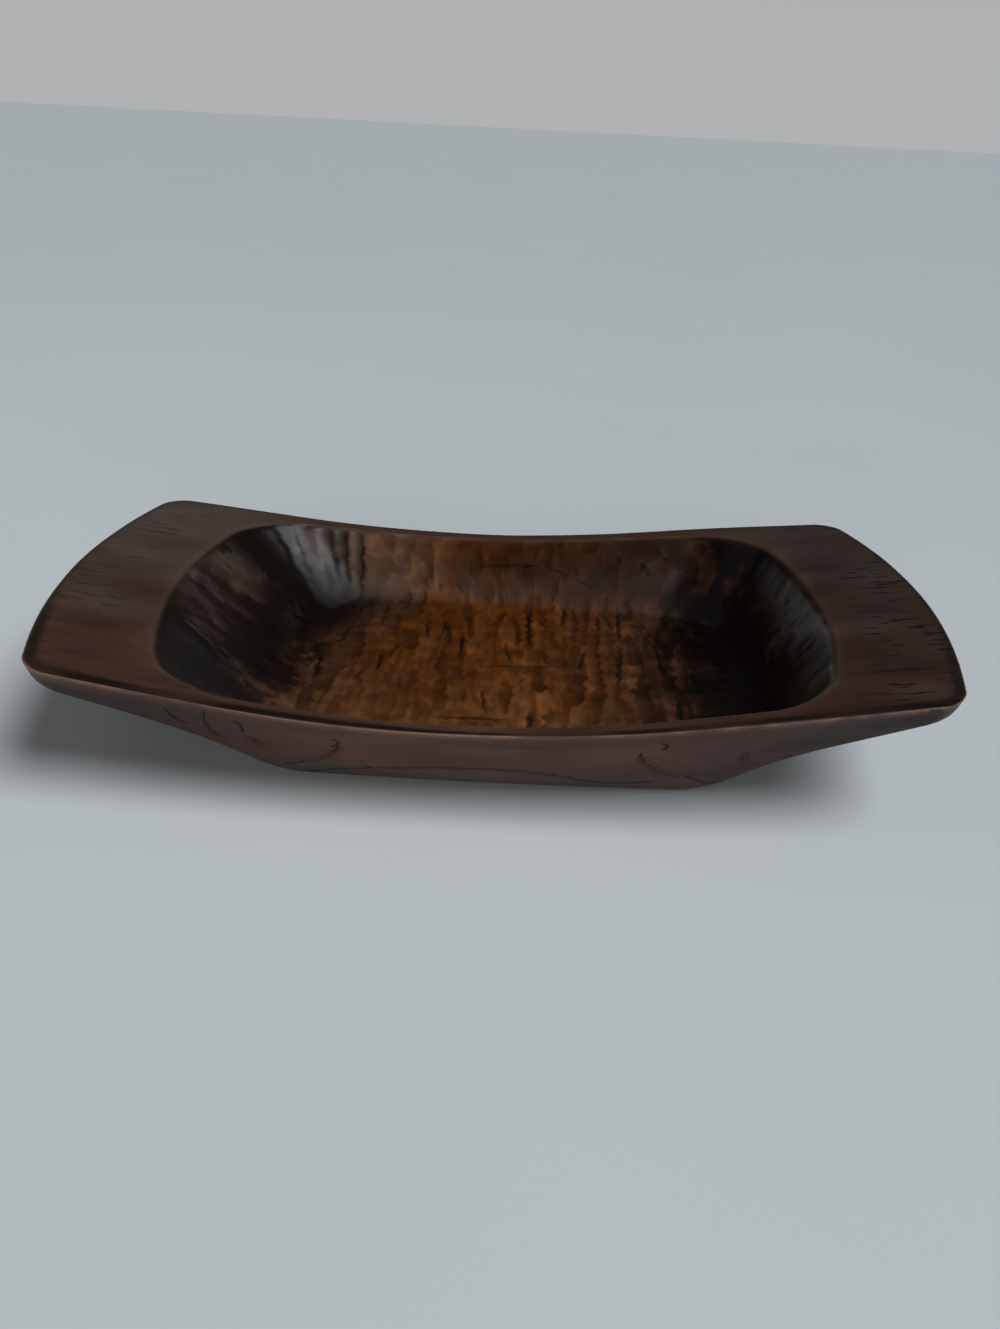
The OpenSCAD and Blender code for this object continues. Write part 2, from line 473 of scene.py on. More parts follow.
def random_slant(random):
    """Most faces slant the same way, as one hand cut them."""
    return random.uniform(0.5, 1.0) * (1.0 if random.uniform() < USUAL_SHARE else -1.0)


def cut_half_width(stab, pitch, usual, random):
    """Half width of a narrow stab, or of a usual cut as a part of the spacing."""
    if stab:
        return random.uniform(*STAB_HALF_WIDTH)
    return pitch * random.uniform(*usual)


def floor_chips(shape, marks, random):
    """Staggered short strokes over the floor, mostly across the bowl, with narrow stabs among them."""
    chips = []
    size = floor_patch_size(shape) / PATCH_SHARE + FLOOR_MARGIN
    pitch, stride = marks.floor_pitch, marks.floor_stride
    for x in np.arange(-size[0], size[0], pitch) + shape.floor_shift:
        y = -size[1] + random.uniform(-0.5, 0.5) * stride
        while y < size[1]:
            centre = (x + random.normal(0.0, FLOOR_STRAY) * pitch, y, shape.floor_thickness)
            turn = random.normal(0.0, FLOOR_TURN)
            towards = 1.0 if random.uniform() < AWAY_SHARE else -1.0
            stroke = np.array([math.sin(turn), math.cos(turn), 0.0]) * towards
            stab = random.uniform() < marks.stab_share
            kind = FLOOR_STABS if stab else FLOOR_CUTS
            half_width = cut_half_width(stab, pitch, FLOOR_HALF_WIDTH, random)
            run_in = stride * random.uniform(*kind.run_in)
            depth = marks.cut_depth * random.uniform(0.5, 1.1)
            run_out = stride * random.uniform(*kind.run_out)
            slant = 0.0 if stab else random_slant(random)
            tone = random.normal()
            dark = random.uniform(*kind.dark)
            chips.append(new_chip(centre, stroke, UP, depth, half_width, run_in, run_out, slant, tone, dark))
            y += stride * random.uniform(0.25, 1.0)
    return chips


def downhill(normal):
    """The direction straight down a wall that faces along its normal."""
    return normal * normal[2] - UP


def corner_stroke(centre, normal, height, marks, random):
    """One long stroke down the far left corner, with a steep face that catches the window's light."""
    slant = random.uniform(*CORNER_SLANT)
    depth = marks.cut_depth * random.uniform(*CORNER_DEPTH)
    if normal[0] > PAST_TURN_FACING:
        slant, depth = PAST_TURN_SLANT * slant, PAST_TURN_DEPTH * depth
    elif normal[0] > END_FACING:
        slant = TURN_SLANT * slant
    half_width = CORNER_HALF_WIDTH * marks.wall_pitch
    run_in, run_out = CORNER_RUN_IN * height, CORNER_RUN_OUT * height
    tone = random.normal()
    return new_chip(centre, downhill(normal), normal, depth, half_width, run_in, run_out, slant, tone)


def wall_stroke(centre, normal, marks, random):
    """One short stroke down a wall, or a narrow stab that leans to one side."""
    stride = marks.wall_stride
    fall = downhill(normal)
    lean = np.cross(normal, fall) * random.normal(0.0, WALL_TURN)
    stab = random.uniform() < WALL_STAB_SHARE * marks.stab_share
    kind = WALL_STABS if stab else WALL_CUTS
    half_width = cut_half_width(stab, marks.wall_pitch, WALL_HALF_WIDTH, random)
    slant = random_slant(random) * (0.0 if stab else WALL_SLANT)
    if normal[1] < -FAR_FACING:
        slant = abs(slant)
    depth = marks.cut_depth * random.uniform(0.4, 1.0)
    if abs(normal[0]) > END_FACING:
        depth = depth * (NEAR_LEFT_DEPTH if centre[0] < 0.0 and centre[1] < 0.0 else END_DEPTH)
    run_in = stride * random.uniform(*kind.run_in)
    run_out = stride * random.uniform(*kind.run_out)
    stroke = fall + lean * (STAB_TURN if stab else 1.0)
    tone = random.normal()
    dark = random.uniform(*kind.dark)
    return new_chip(centre, stroke, normal, depth, half_width, run_in, run_out, slant, tone, dark)


def wall_chips(rows, places, normals, marks, random):
    """Strokes that run straight down the walls from the lip to the floor."""
    wall = np.flatnonzero((places >= FLOOR + WALL_MARGIN) & (places <= LIP - WALL_MARGIN))
    foot, head = rows[wall[0]], rows[wall[-1]]
    middle = wall[len(wall) // 2]
    steps = np.linalg.norm(np.roll(rows[middle], -1, axis=0) - rows[middle], axis=1)
    around = np.concatenate([[0.0], np.cumsum(steps)])
    pitch, stride = marks.wall_pitch, marks.wall_stride
    chips = []
    place = 0.0
    while place < around[-1]:
        column = int(np.searchsorted(around, place)) % rows.shape[1]
        height = np.linalg.norm(head[column] - foot[column])
        centre = rows[middle, column]
        if centre[0] < CORNER_START[0] and centre[1] > CORNER_START[1]:
            chips.append(corner_stroke(centre, normals[middle, column], height, marks, random))
            place += pitch * random.uniform(*CORNER_SPACING)
            continue
        down = random.uniform(0.0, 0.6) * stride
        while down < height + 0.3 * stride:
            part = np.clip(1.0 - down / height, 0.0, 1.0)
            row = wall[int(round(part * (len(wall) - 1)))]
            chips.append(wall_stroke(rows[row, column], normals[row, column], marks, random))
            down += stride * random.uniform(0.5, 1.1)
        place += pitch * random.uniform(0.6, 1.2)
    return chips


# Single long cuts and cracks in the hollow: two ends and the half width, in millimetres, and the darkness,
# which is stain and painted shade in the cut
LONG_CUTS = (
    ((22, 92, 18), (21, 37, 17), 1.9, 0.60),
    ((46, 94, 19), (45, 67, 17), 1.8, 0.60),
    ((84, 96, 20), (81, 50, 17), 1.7, 0.60),
    ((80, 42, 17), (75, -15, 17), 1.6, 0.50),
    ((-10, 4, 17), (47, 10, 17), 1.1, 0.35),
    ((-34, -58, 17), (10, -56, 17), 1.2, 0.45),
    ((-14, 113, 39), (31, 114, 41), 1.1, 0.60),
    ((31, 114, 41), (49, 110, 36), 1.1, 0.45),
    ((51, 109, 35), (68, 105, 29), 1.1, 0.60),
    ((92, 104, 30), (96, 100, 26), 1.2, 0.60),
    ((100, 114, 51), (107, 107, 38), 1.3, 0.60),
    ((109, 116, 57), (118, 111, 49), 1.3, 0.60),
    ((126, 108, 45), (130, 103, 39), 1.2, 0.60),
    ((126, 103, 36), (129, 97, 29), 1.3, 0.60),
    ((134, 116, 63), (143, 111, 61), 1.4, 0.60),
)
# A long cut above this height lies on the far wall, which faces this way
CUT_ON_WALL = 0.025
FAR_WALL_NORMAL = np.array([0.0, -0.84, 0.54])
# How deep a long cut is for each millimetre of its half width, as a part of the usual depth
WALL_CUT_DEPTH = 0.2
FLOOR_CUT_DEPTH = 0.4


def long_cuts(marks):
    """The long cuts, each as a narrow chip that is deepest at its middle."""
    chips = []
    for start, end, half_width, dark in LONG_CUTS:
        start, end = np.array(start) * MILLIMETRE, np.array(end) * MILLIMETRE
        middle, stroke = (start + end) / 2, end - start
        on_wall = min(start[2], end[2]) > CUT_ON_WALL
        normal = FAR_WALL_NORMAL if on_wall else UP
        run = np.linalg.norm(stroke) / 2
        depth = marks.cut_depth * (WALL_CUT_DEPTH if on_wall else FLOOR_CUT_DEPTH) * half_width
        chips.append(new_chip(
            middle, stroke, normal, depth, half_width * MILLIMETRE, run, run, slant=0.0, tone=0.0, dark=dark
        ))
    return chips


# A chip's face: the depth of its middle, what its slant adds at one side, and how far both sides rise
FACE_DEPTH = 0.65
FACE_SLANT = 0.40
FACE_RISE = 0.22
# Least reach of a chip off the skin that it is cut into
CHIP_LIFT = 0.005
# Slits, and faces that slant more than this, have neater edges
NEAT_SLANT = 1.2
NEAT_EDGE = 0.5


def cut_chips(points, ragged, chips):
    """Depth cut away at each point, the tone of its chip, and how dark it is as a slit."""
    face, groove, tone, slit = np.zeros((4, len(points)))
    order = np.argsort(points[:, 0])
    ordered_x = points[order, 0]
    for chip in chips:
        reach = max(chip.run_in, chip.run_out)
        first, last = np.searchsorted(ordered_x, [chip.centre[0] - reach, chip.centre[0] + reach])
        close = order[first:last]
        close = close[np.abs(points[close, 1] - chip.centre[1]) < reach]
        neat = NEAT_EDGE if chip.dark or abs(chip.slant) > NEAT_SLANT else 1.0
        offset = points[close] - chip.centre + ragged[close] * neat
        along = offset @ chip.stroke
        across = offset @ chip.across / chip.half_width
        lift = offset @ np.cross(chip.stroke, chip.across)
        run = np.where(along > 0.0, chip.run_out, chip.run_in)
        entry = 1.0 - (along / run) ** 2
        depth = chip.depth * (FACE_DEPTH + FACE_SLANT * chip.slant * across - FACE_RISE * across**2) * entry
        within = across**2 + np.abs(along / run) ** 3 < 1.0
        within = within & (np.abs(lift) < max(chip.half_width, CHIP_LIFT))
        if chip.dark:
            within = within & (depth > groove[close])
            groove[close[within]] = depth[within]
            slit[close[within]] = chip.dark * (1.0 - across[within] ** 4)
        else:
            within = within & (depth > face[close])
            face[close[within]] = depth[within]
            tone[close[within]] = chip.tone
    return face + groove, tone, slit


def sunkenness(depth):
    """How far each point of a grid of depths lies below the points around it."""
    reach = 3
    padded = np.pad(depth, reach, mode="edge")
    size = 2 * reach + 1
    around = sum(
        padded[i:i + depth.shape[0], j:j + depth.shape[1]] for i in range(size) for j in range(size)
    )
    return depth - around / size**2


# Part of the usual depth by which the ridges between the cuts stand proud of the smooth skin
RIDGE_SHARE = 0.7
# Wavelengths of the unevenness: of the cuts' edges, of the planed faces, of the lip and of the finish
RAGGED_WAVE = 0.010
FACE_WAVE = 0.090
LIP_WAVE = 0.035
MOTTLE_WAVE = 0.045
FINE_WAVE = 0.012
BLOTCH_WAVE = 0.016


def carve_hollow(points, place, chips, marks, random):
    """Depth cut away at each point of the skin, the tone of its chip, and how dark it is as a slit."""
    hollow = np.flatnonzero(place < LIP + EASE_REACH)
    ragged = np.column_stack([ripple(points[hollow], RAGGED_WAVE, random) for _ in range(3)])
    depth, tone, slit = cut_chips(points[hollow], ragged * marks.ragged_edge, chips)
    fade = 1.0 - smooth_step(LIP - 0.40, LIP - 0.02, place[hollow])
    carved = np.zeros((3, len(points)))
    carved[:, hollow] = np.array([depth - RIDGE_SHARE * marks.cut_depth, tone, slit]) * fade
    return carved


class Spots(NamedTuple):
    """What the finish goes by at each point: where it lies, what the gouge left there, and unevenness."""

    x: np.ndarray
    y: np.ndarray
    z: np.ndarray
    place: np.ndarray
    tone: np.ndarray
    slit: np.ndarray
    sunken: np.ndarray
    mottle: np.ndarray
    fine: np.ndarray
    blotch: np.ndarray


class Regions(NamedTuple):
    """How much each point belongs to each part of the bowl, from 0 to 1."""

    inside: np.ndarray
    outside: np.ndarray
    top: np.ndarray
    on_wall: np.ndarray
    far_wall: np.ndarray
    left_far_wall: np.ndarray
    near_side: np.ndarray
    near_floor: np.ndarray
    scorched: np.ndarray
    left_wing: np.ndarray
    right_wing: np.ndarray


def regions(spots):
    """The parts of the bowl, each of which fades into the next."""
    x, y, place = spots.x, spots.y, spots.place
    inside = 1.0 - smooth_step(LIP - 0.15, LIP + 0.05, place)
    outside = smooth_step(EDGE - 0.3, EDGE + 0.3, place)
    top = (1.0 - inside) * (1.0 - outside)
    on_wall = smooth_step(FLOOR - 0.2, FLOOR + 0.5, place) * inside
    far_wall = on_wall * smooth_step(0.05, 0.10, y)
    far_left = smooth_step(-0.040, -0.095, x) * smooth_step(0.045, 0.090, y)
    return Regions(
        inside=inside,
        outside=outside,
        top=top,
        on_wall=on_wall,
        far_wall=far_wall,
        left_far_wall=far_wall * smooth_step(-0.010, -0.055, x),
        near_side=smooth_step(-0.02, -0.10, y),
        near_floor=(inside - on_wall) * smooth_step(0.02, -0.08, y),
        scorched=far_left * (inside - far_wall),
        left_wing=smooth_step(-0.10, -0.20, x) * top,
        right_wing=smooth_step(0.12, 0.20, x) * top,
    )


# The left char and painted shade start past a line slanted across the hollow, and the right ones past a place
# along it
LEFT_CHAR_SHADE_LEAN = 0.36
LEFT_CHAR_SHADE_START = 0.121
LEFT_CHAR_SHADE_BAND = (-0.045, 0.014)
RIGHT_CHAR_SHADE_BAND = (0.056, 0.136)
# How much further out the char and painted shade start on the far wall at the left, and on the walls at the
# right
LEFT_CHAR_SHADE_DELAY = 0.06
RIGHT_CHAR_SHADE_DELAY = 0.04
# How far mottling, fine unevenness and the chips' tones shift the edge of the char and painted shade
LEFT_CHAR_SHADE_FRAY = np.array([0.006, 0.004, -0.005])
RIGHT_CHAR_SHADE_FRAY = np.array([0.008, 0.005, -0.006])


def charred_and_shaded_ends(shape, spots, part):
    """Dark char at the two ends of the hollow, partly painted shade there, and a grey painted sheen high on
    the end walls.
    """
    x, y = spots.x, spots.y
    uneven = np.array([spots.mottle, spots.fine, spots.tone])
    past_left = LEFT_CHAR_SHADE_LEAN * y - x - LEFT_CHAR_SHADE_START - LEFT_CHAR_SHADE_DELAY * part.far_wall
    past_right = x - RIGHT_CHAR_SHADE_DELAY * part.on_wall
    left = smooth_step(*LEFT_CHAR_SHADE_BAND, past_left + LEFT_CHAR_SHADE_FRAY @ uneven)
    right = smooth_step(*RIGHT_CHAR_SHADE_BAND, past_right + RIGHT_CHAR_SHADE_FRAY @ uneven)
    # Dark char and painted shade at both ends of the hollow
    char = np.maximum(left, right) * part.inside
    char = between(char, smooth_step(0.25, 0.75, char), part.on_wall)

    towards_end = smooth_step(0.10, 0.16, np.abs(x - shape.floor_shift))
    high_up = smooth_step(FLOOR + 0.25, FLOOR + 0.65, spots.place)
    short_of_corners = smooth_step(0.085, 0.050, y) * np.maximum(
        smooth_step(-0.050, -0.010, y), smooth_step(0.0, 0.1, x)
    )
    streaks = smooth_step(-1.6, 1.6, spots.tone + 0.4 * spots.blotch + 0.4 * spots.mottle)
    # Painted sheen: grey streaks high on the end walls, short of the corners
    painted_end_sheen = part.on_wall * towards_end * high_up * short_of_corners * between(0.25, 0.95, streaks)
    return char, painted_end_sheen


# The line in plan along which the far left corner turns into the left end wall
TURN_LEAN = 0.466
TURN_START = 0.0236


def wax(spots, part, char, painted_end_sheen):
    """How smooth the wax is: dull in the crease of the floor, and polished on the char and painted shade of
    the end walls.
    """
    x, y, place = spots.x, spots.y, spots.place
    smooth = part.inside * between(0.45, 1.0, smooth_step(FLOOR + 0.2, FLOOR + 0.5, place))
    smooth = smooth - between(1.3, 2.7, smooth_step(-0.02, 0.06, x)) * bell(place, FLOOR + 0.05, 0.25)
    smooth = smooth + 0.9 * bell(place, RIM, 0.15)
    past_turn = smooth_step(0.002, -0.008, y + TURN_LEAN * x - TURN_START)
    end_wall = np.where(x < 0.0, past_turn, smooth_step(0.100, 0.075, y))
    polish = between(1.5, -0.7, smooth_step(-0.03, -0.08, y))
    smooth = between(smooth, polish, char * (1.0 - painted_end_sheen) * end_wall)
    far_corner = part.far_wall * smooth_step(-0.080, -0.100, x) * (1.0 - past_turn)
    return smooth - 0.5 * far_corner


def rubbed_and_lit_edges(spots, part):
    """How far the rim's arris, most at its near side and corners, is rubbed bare with a painted highlight,
    and the painted highlight along the lip.
    """
    x, place = spots.x, spots.place
    corner = smooth_step(0.17, 0.235, np.abs(x)) * smooth_step(0.06, 0.11, np.abs(spots.y))
    rubbed = np.clip(0.50 + 0.28 * spots.mottle + 0.22 * spots.fine, 0.0, 1.0)
    # The near side is rubbed more and also carries a painted highlight
    arris = rubbed * between(0.45, 1.0, part.near_side) + 0.35 * part.near_side + 0.6 * corner
    arris = np.clip(arris, 0.0, 1.0) * bell(place, RIM + 0.07, between(0.12, 0.19, part.near_side))
    # Painted highlight along the lip, strongest at the right end
    return arris + between(0.07, 0.16, smooth_step(0.10, 0.16, x)) * bell(place, LIP + 0.05, 0.16)


# Breadth of the dark line inside the rim, how fast it widens along the near side, and from where
RIM_LINE = 0.0030
RIM_LINE_WIDENING = 0.018
RIM_LINE_START = 0.02


def rim_line(shape, points, spots, part):
    """The dark line on the top face, just inside the rim and strongest along the near side."""
    top = np.flatnonzero((spots.place > LIP + 0.3) & (spots.place < RIM - 0.05))
    outline = section_corners(shape)[RIM][:, :2]
    from_rim = np.min(np.linalg.norm(points[top, None, :2] - outline[None], axis=2), axis=1)
    breadth = RIM_LINE + RIM_LINE_WIDENING * np.abs(spots.x[top] - RIM_LINE_START) * part.near_side[top]
    line = np.zeros(len(points))
    line[top] = smooth_step(1.3 * breadth, 0.7 * breadth, from_rim)
    return line * np.clip(0.85 + 0.3 * spots.mottle, 0.3, 0.95) * between(0.35, 1.0, part.near_side)


# How much darker or lighter each part of the bowl is than plain wood
DARK_RIGHT_WING = 0.36
# Darker outer faces towards the two ends
DARK_OUTER_ENDS = 0.72
DARK_SCORCH = 0.45
# Stain and painted shade in the narrow stabs and long cuts
DARK_SLIT = 0.75
DARK_RIGHT_OUTSIDE = 0.25
DARK_FAR_WALL = 0.42
LIGHT_LEFT_FAR_WALL = 0.32
DARK_RIGHT_FAR_WALL = 0.13
LIGHT_NEAR_FLOOR = 0.22
LIGHT_NEAR_RIM = 0.19


def shades(spots, part):
    """How light or dark the wood is, by its chips, by stain and painted shade in its recesses with painted
    light on its ridges, and by where it lies.
    """
    x = spots.x
    shade = np.exp(
        0.18 * np.clip(spots.tone, -2.0, 1.4)
        + 0.13 * spots.blotch * part.inside
        + 0.09 * spots.mottle * (1.0 - part.inside)
        # Stain and painted shade in the recesses between the cuts, painted light on the ridges between them
        - 2.2 * np.clip(spots.sunken, -0.07, 0.7)
    )
    # Darker on the wings' edges and the outside towards the two ends
    darker_outer_ends = smooth_step(RIM + 0.2, EDGE, spots.place) * smooth_step(0.09, 0.19, np.abs(x))
    for amount, where in (
        (DARK_RIGHT_WING, part.right_wing),
        (DARK_OUTER_ENDS, darker_outer_ends),
        (DARK_SCORCH, part.scorched),
        # Stain and painted shade in the stabs and long cuts
        (DARK_SLIT, spots.slit),
        (DARK_RIGHT_OUTSIDE, part.outside * smooth_step(0.05, 0.15, x)),
    ):
        shade = shade * (1.0 - amount * where)
    far_wall = DARK_FAR_WALL + DARK_RIGHT_FAR_WALL * smooth_step(0.02, 0.09, x)
    shade = shade * (1.0 - far_wall * part.far_wall + LIGHT_LEFT_FAR_WALL * part.left_far_wall)
    near_rim = part.near_side * part.top * (1.0 - part.right_wing)
    return shade * (1.0 + LIGHT_NEAR_FLOOR * part.near_floor + LIGHT_NEAR_RIM * near_rim)


# Middle and reach of the honey-coloured wood, from the middle of the floor
HONEY_MIDDLE = -0.030
HONEY_REACH = 0.115


def finish_values(shape, points, spots):
    """The values that the finish reads at each point of the skin."""
    x, y, tone, mottle = spots.x, spots.y, spots.tone, spots.mottle
    part = regions(spots)
    char, painted_end_sheen = charred_and_shaded_ends(shape, spots, part)
    waxed = wax(spots, part, char, painted_end_sheen)
    # The char and painted shade are a little uneven, and lighter under the painted sheen
    char = char * np.clip(0.99 + 0.04 * tone + 0.03 * spots.blotch, 0.0, 1.0) * (1.0 - 0.55 * painted_end_sheen)

    honey = bell(x - shape.floor_shift, HONEY_MIDDLE, HONEY_REACH) * np.clip(1.0 + 0.12 * mottle, 0.0, 1.4)
    honey = honey * part.inside * (1.0 - 0.25 * part.on_wall) * (1.0 - 0.8 * part.scorched)
    tan = part.near_floor + 0.9 * part.left_far_wall + 0.25 * tone
    tan = tan + 0.3 * smooth_step(-0.05, -0.11, x) * part.inside

    # Painted sheen: the far parts of the wings are greyed, the left wing more than the right
    painted_sheen = (0.60 * part.left_wing + 0.40 * part.right_wing) * smooth_step(-0.12, 0.09, y + 0.03 * mottle)
    # Painted reflection of the pale floor, greying the outside wall just above the base
    painted_sheen = painted_sheen + 0.8 * part.outside * smooth_step(0.030, 0.006, spots.z)
    # Painted sheen: grey high on the end walls and on the left of the far wall
    painted_sheen = painted_sheen + 0.9 * painted_end_sheen + 0.8 * part.left_far_wall
    checks = smooth_step(0.17, 0.21, x) + 0.45 * smooth_step(-0.18, -0.22, x)
    checks = checks * np.clip(0.7 + 0.5 * mottle, 0.0, 1.0) * smooth_step(LIP + 0.3, LIP + 0.4, spots.place)
    return {
        "honey": honey,
        "tan": np.clip(tan, 0.0, 1.0),
        "char": np.maximum(char, rim_line(shape, points, spots, part)),
        "painted_sheen": painted_sheen,
        "wear_and_highlight": rubbed_and_lit_edges(spots, part),
        "checks": checks,
        # Stain and painted shade in the stabs and long cuts; the growth lines are cut into this later
        "line": 0.45 * spots.slit,
        "shade": shades(spots, part),
        "waxed": waxed,
        "hollow": part.inside,
        "outside": part.outside,
    }


def sculpt(shape, marks):
    """Points of the skin with its tool marks, the values that the finish reads, and the columns of a ring."""
    random = np.random.default_rng(marks.seed)
    rows, row_places = section_rows(shape)
    normals = ring_normals(rows)
    columns = rows.shape[1]
    patch = floor_patch(shape).reshape(-1, 3)
    chips = floor_chips(shape, marks, random) + wall_chips(rows, row_places, normals, marks, random)
    chips += long_cuts(marks)

    points = np.concatenate([patch, rows[1:].reshape(-1, 3)])
    outward = np.concatenate([np.tile(UP, (len(patch), 1)), normals[1:].reshape(-1, 3)])
    place = np.concatenate([np.zeros(len(patch)), np.repeat(row_places[1:], columns)])
    cut, tone, slit = carve_hollow(points, place, chips, marks, random)
    sunken = np.concatenate([
        sunkenness(cut[:len(patch)].reshape(GRID_X + 1, GRID_Y + 1)).reshape(-1),
        sunkenness(cut[len(patch):].reshape(-1, columns)).reshape(-1),
    ]) / marks.cut_depth

    above_base = 1.0 - smooth_step(BASE - 0.5, BASE - 0.2, place)
    wander = ripple(points, FACE_WAVE, random) * marks.face_wander * above_base
    wander += ripple(points, LIP_WAVE, random) * marks.lip_wander * bell(place, LIP, 0.22)
    carved = points + outward * (wander - cut)[:, None]
    uneven = [ripple(carved, wave, random) for wave in (MOTTLE_WAVE, FINE_WAVE, BLOTCH_WAVE)]
    spots = Spots(*points.T, place, tone, slit, sunken, *uneven)
    return carved, finish_values(shape, carved, spots), columns


def patch_border(i, j):
    """Number of a place on the patch's border, counted as the rings count their columns."""
    if i == GRID_X and j < GRID_Y:
        return j
    if j == GRID_Y and i > 0:
        return GRID_Y + GRID_X - i
    if i == 0 and j > 0:
        return GRID_X + 2 * GRID_Y - j
    return GRID_X + 2 * GRID_Y + i


def skin_bowl(points, values, columns):
    """The bowl's closed skin: a grid for the floor, and a ladder of rings over the rim to the base."""
    patch_count = (GRID_X + 1) * (GRID_Y + 1)
    rings = (len(points) - patch_count) // columns
    bm = bmesh.new()
    layers = {name: bm.verts.layers.float.new(name) for name in values}
    bmesh.ops.create_grid(bm, x_segments=GRID_X, y_segments=GRID_Y, size=1.0)
    border = [edge for edge in bm.edges if edge.is_boundary]
    made = bmesh.ops.extrude_edge_only(bm, edges=border)["geom"]
    for vert in made:
        if isinstance(vert, bmesh.types.BMVert):
            vert.co.z = rings
    bmesh.ops.holes_fill(bm, edges=[edge for edge in bm.edges if edge.is_boundary], sides=0)
    ladder = [edge for edge in bm.edges if edge.verts[0].co.z != edge.verts[1].co.z]
    bmesh.ops.subdivide_edges(bm, edges=ladder, cuts=rings - 1)
    for vert in bm.verts:
        i = round((vert.co.x + 1.0) / 2.0 * GRID_X)
        j = round((vert.co.y + 1.0) / 2.0 * GRID_Y)
        ring = round(vert.co.z)
        if ring:
            number = patch_count + (ring - 1) * columns + patch_border(i, j)
        else:
            number = i * (GRID_Y + 1) + j
        vert.co = points[number]
        for name, layer in layers.items():
            vert[layer] = values[name][number]
    bm.normal_update()
    bmesh.ops.recalc_face_normals(bm, faces=bm.faces[:])
    bm.normal_update()
    return bm


def bend(start, middle, end, steps=14):
    """Points of a smooth bend through a start, towards a middle and on to an end."""
    t = np.linspace(0.0, 1.0, steps)[:, None]
    start, middle, end = np.array(start), np.array(middle), np.array(end)
    return start * (1 - t) ** 2 + middle * 2 * t * (1 - t) + end * t**2


# Dark growth lines on the near outer wall: place along the bowl and height, in millimetres
WALL_LINES = (
    ((-161, 55), (-161, 48), (-154, 43)),
    ((-141, 56), (-146, 42), (-138, 33)),
    ((-127, 50), (-123, 46), (-125, 41)),
    ((-121, 37), (-117, 31), (-122, 24)),
    ((-110, 9), (-84, 18), (-77, 36)),
    ((-80, 36), (-73, 39), (-79, 42)),
    ((-99, 2), (-50, 21), (0, 22)),
    ((0, 22), (30, 21), (46, 12)),
    ((46, 12), (66, 5), (86, 11)),
    ((75, 41), (77, 29), (98, 17)),
    ((102, 17), (115, 11), (129, 1)),
    ((129, 42), (127, 34), (135, 26)),
    ((84, 50), (90, 49), (86, 45)),
    ((151, 38), (156, 35), (152, 31)),
)
# The walls lean out, so a step in height is a longer step on their face
WALL_LEAN = 1.22
# The near wall starts at this place across the bowl, and faces so far to the near side and so far up
NEAR_WALL_START = -0.08
NEAR_WALL_FACING = -0.2
NEAR_WALL_LEAN = 0.3
# How close to a line the faces are made finer, once and then again, and the least of a line that is cut
LINE_REACHES = (0.0045, 0.0028)
LINE_FAINTEST = 0.01


def line_distance(points, lines):
    """Shortest distance from each point, given by place along and height on the wall, to any of the lines."""
    nearest = np.full(len(points), 1.0)
    for line in lines:
        path = bend(*line) * MILLIMETRE * [1.0, WALL_LEAN]
        for start, end in zip(path[:-1], path[1:]):
            step = end - start
            t = np.clip((points - start) @ step / (step @ step), 0.0, 1.0)
            nearest = np.minimum(nearest, np.linalg.norm(points - start - t[:, None] * step, axis=1))
    return nearest


def near_wall_verts(bm):
    """Vertices of the near outer wall, and their place along the bowl and height on the wall's face."""
    verts = [
        v for v in bm.verts
        if v.co.y < NEAR_WALL_START and v.normal.y < NEAR_WALL_FACING and v.normal.z < NEAR_WALL_LEAN
    ]
    return verts, np.array([(v.co.x, v.co.z * WALL_LEAN) for v in verts])


def cut_wall_lines(bm, marks):
    """Cuts the dark growth lines into the near outer wall, on faces that are first made finer."""
    for reach in LINE_REACHES:
        verts, places = near_wall_verts(bm)
        near = line_distance(places, WALL_LINES) < reach
        chosen = {v for v, close in zip(verts, near) if close}
        edges = [e for e in bm.edges if all(v in chosen for v in e.verts)]
        bmesh.ops.subdivide_edges(bm, edges=edges, cuts=1, use_grid_fill=True)
        bm.normal_update()
    verts, places = near_wall_verts(bm)
    depth = bell(line_distance(places, WALL_LINES), 0.0, marks.line_width / 2)
    layer = bm.verts.layers.float["line"]
    for vert, part in zip(verts, depth):
        if part > LINE_FAINTEST:
            vert[layer] = part
            vert.co -= vert.normal * (marks.line_depth * part)


# Layout of the nodes in the shader editor: the room that each takes, the top row and the rows
NODE_WIDTH = 220
NODE_HEIGHT = 200
NODE_TOP = 320
NODE_ROWS = 4


